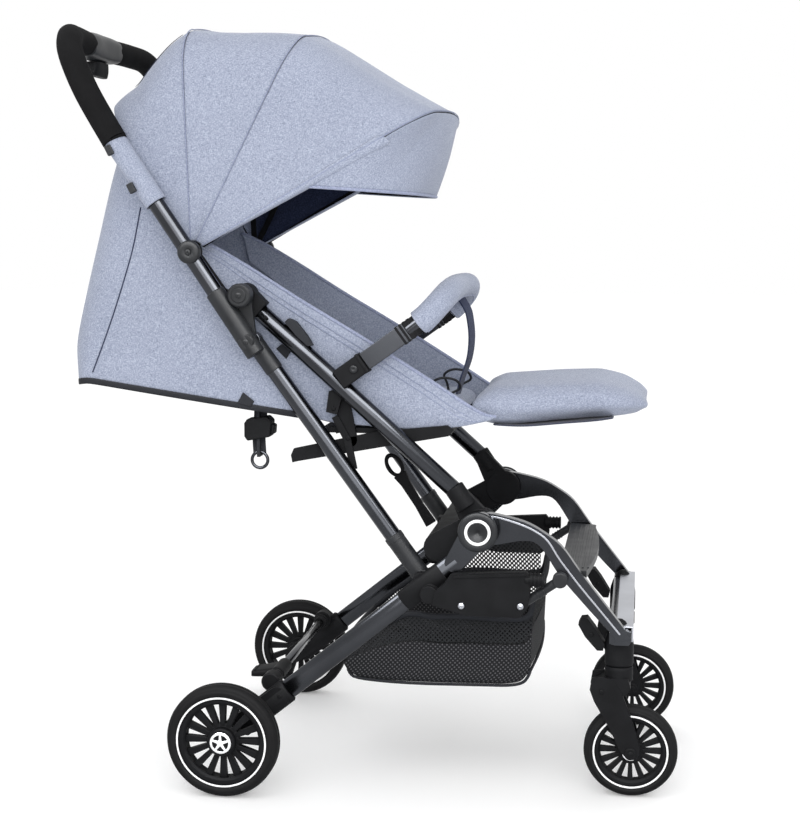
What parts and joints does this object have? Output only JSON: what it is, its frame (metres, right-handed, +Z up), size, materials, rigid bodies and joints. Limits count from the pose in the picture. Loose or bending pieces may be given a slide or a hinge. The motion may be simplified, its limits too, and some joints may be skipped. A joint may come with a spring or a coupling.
{
  "type": "folding baby stroller",
  "caption": "Folding stroller with a hooped sun canopy, reclining seat, bumper bar, leg rest, under-seat basket, braked rear wheels and swivelling front casters.",
  "frame": {"origin": "middle of the stroller's outline, on the floor", "axes": "+X towards the front casters, +Y across the stroller to the child's left, +Z up"},
  "size_m": [0.8534, 0.5, 1.0254],
  "materials": {
    "gunmetal_tube": "gloss",
    "bright_metal": "satin",
    "black_plastic": "matte",
    "grey_plastic": "satin",
    "foam": "matte",
    "tyre": "satin",
    "grey_fabric": "melange weave",
    "navy_fabric": "weave",
    "mesh_fabric": "mesh"
  },
  "bodies": {
    "frame": {"side_tube_right": "gunmetal_tube", "side_tube_left": "gunmetal_tube", "top_block_right": "black_plastic", "top_block_left": "black_plastic", "hub_block_right": "black_plastic", "hub_block_left": "black_plastic", "bumper_socket_right": "black_plastic", "bumper_socket_left": "black_plastic", "cross_member": "black_plastic", "seat_frame": "black_plastic", "seat_sling": "grey_fabric", "canopy_cover": "grey_fabric", "back_enclosure": "grey_fabric", "basket": "mesh_fabric"},
    "handle": {"handle_tube": "gunmetal_tube", "handle_grip": "foam", "handle_housing": "grey_plastic", "handle_bracket_right": "black_plastic", "handle_bracket_left": "black_plastic"},
    "trigger": {"fold_trigger": "grey_plastic"},
    "rear_legs": {"rear_leg_right": "gunmetal_tube", "rear_leg_left": "gunmetal_tube", "rear_foot_right": "black_plastic", "rear_foot_left": "black_plastic", "rear_axle": "gunmetal_tube"},
    "rear_wheel_right": {"rear_tyre_right": "tyre", "rear_rim_right": "black_plastic"},
    "rear_wheel_left": {"rear_tyre_left": "tyre", "rear_rim_left": "black_plastic"},
    "brake": {"brake_pedal": "black_plastic"},
    "side_links": {"link_tube_right": "gunmetal_tube", "link_tube_left": "gunmetal_tube"},
    "brace_boxes": {"brace_box_right": "black_plastic", "brace_box_left": "black_plastic"},
    "brace_rods": {"brace_rod_right": "gunmetal_tube", "brace_rod_left": "gunmetal_tube"},
    "front_legs": {"front_frame": "gunmetal_tube", "front_strip": "bright_metal", "footboard": "black_plastic"},
    "caster_right": {"caster_fork_right": "black_plastic"},
    "caster_left": {"caster_fork_left": "black_plastic"},
    "lock_right": {"swivel_lock_right": "grey_plastic"},
    "lock_left": {"swivel_lock_left": "grey_plastic"},
    "front_wheel_right": {"front_tyre_right": "tyre", "front_rim_right": "black_plastic"},
    "front_wheel_left": {"front_tyre_left": "tyre", "front_rim_left": "black_plastic"},
    "rear_bow": {"canopy_bow_rear": "black_plastic"},
    "middle_bow": {"canopy_bow_middle": "black_plastic"},
    "front_bow": {"canopy_bow_front": "black_plastic"},
    "visor": {"visor_bow": "black_plastic"},
    "backrest": {"backrest_board": "black_plastic", "backrest_pad": "navy_fabric"},
    "strap_ring": {"recline_ring": "bright_metal"},
    "leg_support": {"leg_rest": "grey_fabric"},
    "bumper": {"bumper_bar": "gunmetal_tube", "bumper_pad": "grey_fabric"},
    "button_right": {"bumper_button_right": "grey_plastic"},
    "button_left": {"bumper_button_left": "grey_plastic"},
    "lever": {"pull_lever": "black_plastic"}
  },
  "joints": [
    {"name": "frame_fold", "type": "hinge", "parent": "frame", "child": "handle", "pos_m": [-0.1553, 0, 0.664], "axis": [0, 1, 0], "range_deg": [0, 90], "deforming": ["basket"]},
    {"name": "rear_leg_fold", "type": "hinge", "parent": "frame", "child": "rear_legs", "pos_m": [0.1587, 0, 0.359], "axis": [0, 1, 0], "range_deg": [0, 54.5]},
    {"name": "link_fold", "type": "hinge", "parent": "rear_legs", "child": "side_links", "pos_m": [0.0827, 0, 0.289], "axis": [0, 1, 0], "range_deg": [-63, 0]},
    {"name": "front_leg_fold", "type": "hinge", "parent": "frame", "child": "front_legs", "pos_m": [0.1587, 0, 0.359], "axis": [0, 1, 0], "range_deg": [0, 116]},
    {"name": "brace_rear_fold", "type": "hinge", "parent": "rear_legs", "child": "brace_boxes", "pos_m": [0.0957, 0, 0.275], "axis": [0, 1, 0], "range_deg": [0, 54]},
    {"name": "brace_knee_fold", "type": "hinge", "parent": "brace_boxes", "child": "brace_rods", "pos_m": [0.2137, 0, 0.262], "axis": [0, 1, 0], "range_deg": [-108.5, 0]},
    {"name": "trigger_pull", "type": "slide", "parent": "handle", "child": "trigger", "axis": [0, 0, 1], "range_m": [0, 0.006], "stiffness_N_per_m": 400},
    {"name": "rear_wheel_right_spin", "type": "hinge", "parent": "rear_legs", "child": "rear_wheel_right", "pos_m": [-0.1753, -0.235, 0.076], "axis": [0, 1, 0], "continuous": true},
    {"name": "rear_wheel_left_spin", "type": "hinge", "parent": "rear_legs", "child": "rear_wheel_left", "pos_m": [-0.1753, 0.235, 0.076], "axis": [0, 1, 0], "continuous": true},
    {"name": "brake_press", "type": "hinge", "parent": "rear_legs", "child": "brake", "pos_m": [-0.1243, -0.116, 0.14], "axis": [0, -1, 0], "range_deg": [0, 20]},
    {"name": "caster_right_swivel", "type": "hinge", "parent": "front_legs", "child": "caster_right", "pos_m": [0.3427, -0.15, 0.17], "axis": [0, 0, 1], "continuous": true},
    {"name": "caster_left_swivel", "type": "hinge", "parent": "front_legs", "child": "caster_left", "pos_m": [0.3427, 0.15, 0.17], "axis": [0, 0, 1], "continuous": true},
    {"name": "lock_right_flip", "type": "hinge", "parent": "front_legs", "child": "lock_right", "pos_m": [0.3187, -0.15, 0.203], "axis": [0, 1, 0], "range_deg": [0, 20]},
    {"name": "lock_left_flip", "type": "hinge", "parent": "front_legs", "child": "lock_left", "pos_m": [0.3187, 0.15, 0.203], "axis": [0, 1, 0], "range_deg": [0, 20]},
    {"name": "front_wheel_right_spin", "type": "hinge", "parent": "caster_right", "child": "front_wheel_right", "pos_m": [0.3597, -0.15, 0.062], "axis": [0, 1, 0], "continuous": true},
    {"name": "front_wheel_left_spin", "type": "hinge", "parent": "caster_left", "child": "front_wheel_left", "pos_m": [0.3597, 0.15, 0.062], "axis": [0, 1, 0], "continuous": true},
    {"name": "rear_bow_fold", "type": "hinge", "parent": "frame", "child": "rear_bow", "pos_m": [-0.2263, 0, 0.72], "axis": [0, -1, 0], "range_deg": [0, 18.5]},
    {"name": "middle_bow_fold", "type": "hinge", "parent": "rear_bow", "child": "middle_bow", "pos_m": [-0.2263, 0, 0.72], "axis": [0, -1, 0], "range_deg": [0, 25.5]},
    {"name": "canopy_fold", "type": "hinge", "parent": "middle_bow", "child": "front_bow", "pos_m": [-0.2263, 0, 0.72], "axis": [0, -1, 0], "range_deg": [0, 29], "deforming": ["canopy_cover"]},
    {"name": "visor_fold", "type": "hinge", "parent": "front_bow", "child": "visor", "pos_m": [-0.0747, 0, 0.8075], "axis": [0, -1, 0], "range_deg": [0, 30]},
    {"name": "backrest_recline", "type": "hinge", "parent": "frame", "child": "backrest", "pos_m": [-0.0653, 0, 0.497], "axis": [0, 1, 0], "range_deg": [0, 45], "deforming": ["back_enclosure"]},
    {"name": "strap_ring_swing", "type": "hinge", "parent": "backrest", "child": "strap_ring", "pos_m": [-0.1483, -0.128, 0.4435], "axis": [0, 1, 0], "range_deg": [-20, 20]},
    {"name": "leg_rest_fold", "type": "hinge", "parent": "frame", "child": "leg_support", "pos_m": [0.1287, 0, 0.506], "axis": [0, 1, 0], "range_deg": [0, 50]},
    {"name": "bumper_pull", "type": "slide", "parent": "frame", "child": "bumper", "axis": [0.8125, 0, 0.5829], "range_m": [0, 0.06]},
    {"name": "button_right_press", "type": "slide", "parent": "frame", "child": "button_right", "axis": [0, 1, 0], "range_m": [0, 0.003], "stiffness_N_per_m": 300},
    {"name": "button_left_press", "type": "slide", "parent": "frame", "child": "button_left", "axis": [0, -1, 0], "range_m": [0, 0.003], "stiffness_N_per_m": 300},
    {"name": "lever_pull", "type": "hinge", "parent": "frame", "child": "lever", "pos_m": [0.0707, 0, 0.33], "axis": [0, 1, 0], "range_deg": [0, 25]}
  ],
  "couplings": [
    {"joint": "rear_leg_fold", "follows": "frame_fold", "ratio": 0.598},
    {"joint": "link_fold", "follows": "frame_fold", "ratio": -0.6941},
    {"joint": "front_leg_fold", "follows": "frame_fold", "ratio": 1.2778},
    {"joint": "brace_rear_fold", "follows": "frame_fold", "ratio": 0.592},
    {"joint": "brace_knee_fold", "follows": "frame_fold", "ratio": -1.196},
    {"joint": "rear_bow_fold", "follows": "canopy_fold", "ratio": 0.62},
    {"joint": "middle_bow_fold", "follows": "canopy_fold", "ratio": 0.862},
    {"joint": "visor_fold", "follows": "canopy_fold", "ratio": 1.02}
  ]
}
